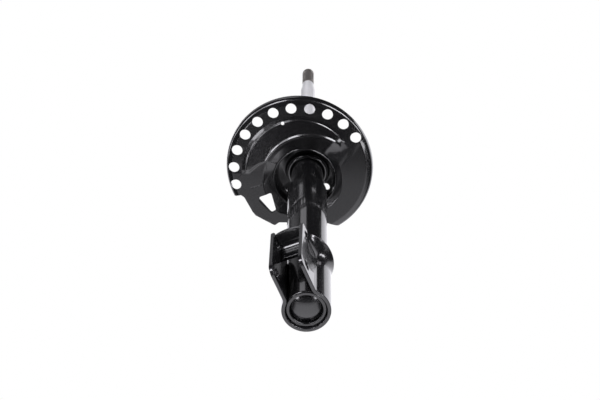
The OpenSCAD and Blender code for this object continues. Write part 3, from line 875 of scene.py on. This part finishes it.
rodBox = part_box("piston_rod")
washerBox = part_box("piston_washer")
rodSize = {
    "low": rodBox[0].z / mm, "top": rodBox[1].z / mm, "shaft": 10.0, "spigot": 6.0, "spigotBevel": 1.0,
    "shoulder": washerBox[1].z / mm, "shoulderBevel": 0.5, "pin": 8.0, "pinLength": 45.0, "taper": 15.0,
    "chamfer": (1.9, 1.5), "rounds": (0, 0.2, 0.2, 0.3, 0.1, 0.2, 3.0, 4.0, 0.3, 0.3, 0.2, 0.3, 0),
}
threadSize = {
    "pitch": 1.5, "depth": 0.9, "from": 7.0, "to": 2.4, "runIn": 1.5, "share": 0.46, "crest": 0.12,
    "crestSink": 0.06, "rootSink": 0.25, "around": 48, "startBack": 1.0, "runOut": 0.1,
}


def makeThread(r, t, pinLow):
    # a ridge wound over the pin's core
    core = r["pin"] - t["depth"]
    half = t["pitch"] * t["share"]
    low = pinLow + t["from"] - t["startBack"]
    turns = int((r["top"] - t["to"] - low) / t["pitch"])
    crestAt = r["pin"] - t["crestSink"]
    section = [(core - t["rootSink"], -half), (crestAt, -t["crest"]), (crestAt, t["crest"]),
               (core - t["rootSink"], half)]
    bm = bmesh.new()
    verts = [bm.verts.new(Vector((x, 0, low + half + z)) * mm) for x, z in section]
    edges = [bm.edges.new(p) for p in zip(verts, verts[1:] + verts[:1])]
    bm.faces.new(verts)
    made = bmesh.ops.spin(bm, geom=verts + edges, cent=(0, 0, 0), axis=(0, 0, 1),
                          dvec=(0, 0, t["pitch"] * mm / t["around"]), angle=math.tau * turns,
                          steps=t["around"] * turns)
    closeEnd(bm, made)
    # the thread runs out at both ends
    total = low + half + turns * t["pitch"]
    for v in bm.verts:
        z = v.co.z / mm
        reach = math.hypot(v.co.x, v.co.y) / mm
        if reach > core:
            shy = smoothStep(total - t["pitch"], total, z) + (1.0 - smoothStep(low, low + t["pitch"], z))
            scale = (reach - min(1.0, shy) * (t["depth"] + t["runOut"])) / reach
            v.co.x *= scale
            v.co.y *= scale
    bmesh.ops.recalc_face_normals(bm, faces=bm.faces)
    return bm


def makeRod(r, t):
    pinLow = r["top"] - r["pinLength"]
    core = r["pin"] - t["depth"]
    bevel, step = r["spigotBevel"], r["shoulderBevel"]
    tipIn, tipDown = r["chamfer"]
    outline = [
        (0, r["low"]), (r["spigot"] - bevel, r["low"]), (r["spigot"], r["low"] + bevel),
        (r["spigot"], r["shoulder"]), (r["shaft"] - step, r["shoulder"]), (r["shaft"], r["shoulder"] + step),
        (r["shaft"], pinLow - r["taper"]), (r["pin"], pinLow), (r["pin"], pinLow + t["from"] - t["runIn"]),
        (core, pinLow + t["from"]), (core, r["top"] - tipDown), (r["pin"] - tipIn, r["top"]), (0, r["top"]),
    ]
    corners = [(reach, z, r["rounds"][k]) for k, (reach, z) in enumerate(outline)]
    piece = spun("pistonRod", corners, closed=False)
    bm = makeThread(r, t, pinLow)
    bm.from_mesh(piece.data)
    bm.to_mesh(piece.data)
    bm.free()
    smoothShaded(piece.data, sharp=35.0)
    return piece


dress(evenNormals(makeRod(rodSize, threadSize)), "rod", chrome, ["piston_rod"])
print("welds, end cap and rod made")

# the inner works keep their solids and get real finishes
innerFinish = {
    "working_cylinder": steel, "base_valve_body": sintered, "base_compression_discs": springSteel,
    "base_check_plate": springSteel, "base_check_spring": springSteel, "base_valve_bolt": steel,
    "rod_guide": sintered, "guide_bush": lining, "rod_seal": sealRubber, "seal_spring": springSteel,
    "rebound_stop_ring": steel, "rebound_bumper": bumperRubber, "piston": sintered,
    "piston_band": bandPlastic, "piston_washer": steel, "piston_check_spring": springSteel,
    "piston_check_plate": springSteel, "piston_rebound_discs": springSteel, "piston_nut": steel,
}
for name, material in innerFinish.items():
    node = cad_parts[name]
    node.data.materials.clear()
    node.data.materials.append(material)
print("inner pieces finished:", len(innerFinish))

floorLook = {
    "radius": 3.0, "under": 0.2, "sides": 96, "rough": 0.8, "patch": 300.0,
    "dark": (0.86, 0.86, 0.87, 1), "light": (0.9, 0.9, 0.9, 1), "fadeFrom": (0.3, 1.6), "white": (0.72, 1.0),
}


def makeFloor(look):
    bm = bmesh.new()
    bmesh.ops.create_circle(bm, cap_ends=True, segments=look["sides"], radius=look["radius"])
    floor = meshObject("floor", bm)
    floor.data.transform(Matrix.Translation((0, 0, cadBox[0][2] - look["under"] * mm)))
    floor.visible_shadow = False
    floor.visible_diffuse = False
    floor.visible_glossy = False
    floor.visible_transmission = False
    made, shader, start = newMaterial("paleFloor")
    tree = made.node_tree
    shader.inputs["Roughness"].default_value = look["rough"]
    start.put(shader.inputs["Base Color"], noiseAt(start, look["patch"]).mixed(look["dark"], look["light"]))

    def blend(factor, first, second):
        mixed = tree.nodes.new("ShaderNodeMixShader")
        start.put(mixed.inputs[0], factor)
        tree.links.new(first.outputs[0], mixed.inputs[1])
        tree.links.new(second.outputs[0], mixed.inputs[2])
        return mixed

    # the camera sees it nearly white, with the strut's shadow on it
    white = tree.nodes.new("ShaderNodeEmission")
    white.inputs["Color"].default_value = (1, 1, 1, 1)
    white.inputs["Strength"].default_value = 1.0
    seen = Flow(tree, tree.nodes.new("ShaderNodeLightPath").outputs["Is Camera Ray"])
    reach = start.node("ShaderNodeVectorMath", {"operation": "LENGTH"}, {0: start}, 1)
    pale = blend(seen * reach.clipped(*look["fadeFrom"], *look["white"]), shader, white)
    # open from below, so that it never hides the strut
    below = Flow(tree, tree.nodes.new("ShaderNodeNewGeometry").outputs["Backfacing"])
    whole = blend(below, pale, tree.nodes.new("ShaderNodeBsdfTransparent"))
    tree.links.new(whole.outputs[0], tree.nodes["Material Output"].inputs[0])
    floor.data.materials.append(made)


makeFloor(floorLook)

# the camera looks up at the strut from below; the light is laid out along its axes
cameraSetup = {
    "focalPixels": 2300.0, "frameSize": (600, 400), "sensor": 36.0, "farEnd": 20.0,
    "azimuth": 22.0, "elevation": -60.3, "roll": -0.75, "distance": 2744.0,
    "aim": (0.0, 0.0, -5.5), "aimPixel": (306.3, 311.0),
}


def viewAxes(setup):
    az, el, roll = (math.radians(setup[k]) for k in ("azimuth", "elevation", "roll"))
    back = Vector((math.sin(az) * math.cos(el), -math.cos(az) * math.cos(el), math.sin(el)))
    right = Vector((math.cos(az), math.sin(az), 0.0))
    up = back.cross(right)
    return right * math.cos(roll) - up * math.sin(roll), up * math.cos(roll) + right * math.sin(roll), back


rightAxis, upAxis, backAxis = viewAxes(cameraSetup)


def makeCamera(c):
    data = bpy.data.cameras.new("camera")
    data.sensor_width = c["sensor"]
    data.lens = c["focalPixels"] / c["frameSize"][0] * c["sensor"]
    data.clip_end = c["farEnd"]
    camera = bpy.data.objects.new("camera", data)
    scene.collection.objects.link(camera)
    across = (c["aimPixel"][0] - c["frameSize"][0] / 2) / c["focalPixels"] * c["distance"]
    upwards = (c["frameSize"][1] / 2 - c["aimPixel"][1]) / c["focalPixels"] * c["distance"]
    at = Vector(c["aim"]) - rightAxis * across - upAxis * upwards + backAxis * c["distance"]
    turn = Matrix((rightAxis, upAxis, backAxis)).transposed().to_4x4()
    camera.matrix_world = Matrix.Translation(at * mm) @ turn
    scene.camera = camera


makeCamera(cameraSetup)

lightSetup = {
    "dark": 0.02, "tint": (0.96, 0.95, 1.0, 1), "edgeSoft": 0.008,
    # the pale half: its direction away from and below the camera, and its level from the edge inwards
    "paleBack": -0.654, "paleUp": -0.755, "nearLevel": 0.62, "farLevel": 1.15, "levelReach": 0.2,
    "tableHalf": 0.5, "tableSoft": 0.06, "beyond": 0.25,
    "backdrop": 0.33, "backdropSlope": 0.3, "backdropFrom": (0.3, 0.6),
    # soft boxes: direction along the camera's back, up and right axes, half angle, strength
    "boxes": ((0.72, 0.5, -0.48, 10.0, 11.0), (0.58, 0.42, -0.7, 7.0, 4.0), (0.4, 0.3, -0.87, 8.0, 10.0),
              (0.2, 0.12, -0.97, 7.0, 6.0), (0.04, -0.1, -0.99, 7.0, 5.0),
              (0.74, 0.5, 0.42, 10.0, 12.0), (0.62, 0.44, 0.64, 8.0, 14.0), (0.4, 0.3, 0.87, 8.0, 10.0),
              (0.796, -0.398, -0.457, 5.0, 8.0), (0.797, -0.398, 0.456, 5.0, 8.0),
              (-0.52, 0.835, -0.17, 8.5, 1.0), (-0.82, 0.53, -0.2, 20.0, 0.28)),
    "boxSoft": (0.9, 1.1),
}


def makeWorld(look):
    world = bpy.data.worlds.new("studio")
    scene.world = world
    world.use_nodes = True
    tree = world.node_tree
    tree.nodes.clear()
    facing = Flow(tree, tree.nodes.new("ShaderNodeTexCoord").outputs["Generated"])
    back = facing.along(backAxis)
    side = facing.along(rightAxis)
    # a pale table and backdrop fill one half of the room, the rest stays dim
    pale = facing.along(backAxis * look["paleBack"] + upAxis * look["paleUp"])
    backdrop = (look["backdrop"] - side * look["backdropSlope"]) * (-back).clipped(*look["backdropFrom"])
    lit = (pale - backdrop).clipped(-look["edgeSoft"], look["edgeSoft"])
    ramp = pale.clipped(0.0, look["levelReach"], look["nearLevel"], look["farLevel"], soft=False)
    half, soft = look["tableHalf"], look["tableSoft"]
    table = 1.0 - side.maths("ABSOLUTE", side).clipped(half - soft, half + soft)
    wide = table.maths("MAXIMUM", table, (-back).clipped(0.0, look["beyond"]))
    level = lit * ramp * wide + look["dark"]

    for c, v, h, size, strength in look["boxes"]:
        middle = (backAxis * c + upAxis * v + rightAxis * h).normalized()
        inside, outside = (math.cos(math.radians(size * k)) for k in look["boxSoft"])
        level = level.maths("MAXIMUM", level, facing.along(middle).clipped(outside, inside) * strength)
    studio = tree.nodes.new("ShaderNodeBackground")
    studio.inputs["Color"].default_value = look["tint"]
    facing.put(studio.inputs["Strength"], level)
    plain = tree.nodes.new("ShaderNodeBackground")
    plain.inputs["Color"].default_value = (1, 1, 1, 1)
    mixed = tree.nodes.new("ShaderNodeMixShader")
    output = tree.nodes.new("ShaderNodeOutputWorld")
    tree.links.new(tree.nodes.new("ShaderNodeLightPath").outputs["Is Camera Ray"], mixed.inputs[0])
    tree.links.new(studio.outputs[0], mixed.inputs[1])
    tree.links.new(plain.outputs[0], mixed.inputs[2])
    tree.links.new(mixed.outputs[0], output.inputs[0])


makeWorld(lightSetup)
scene.view_settings.view_transform = "Standard"
print("floor, camera and light made")
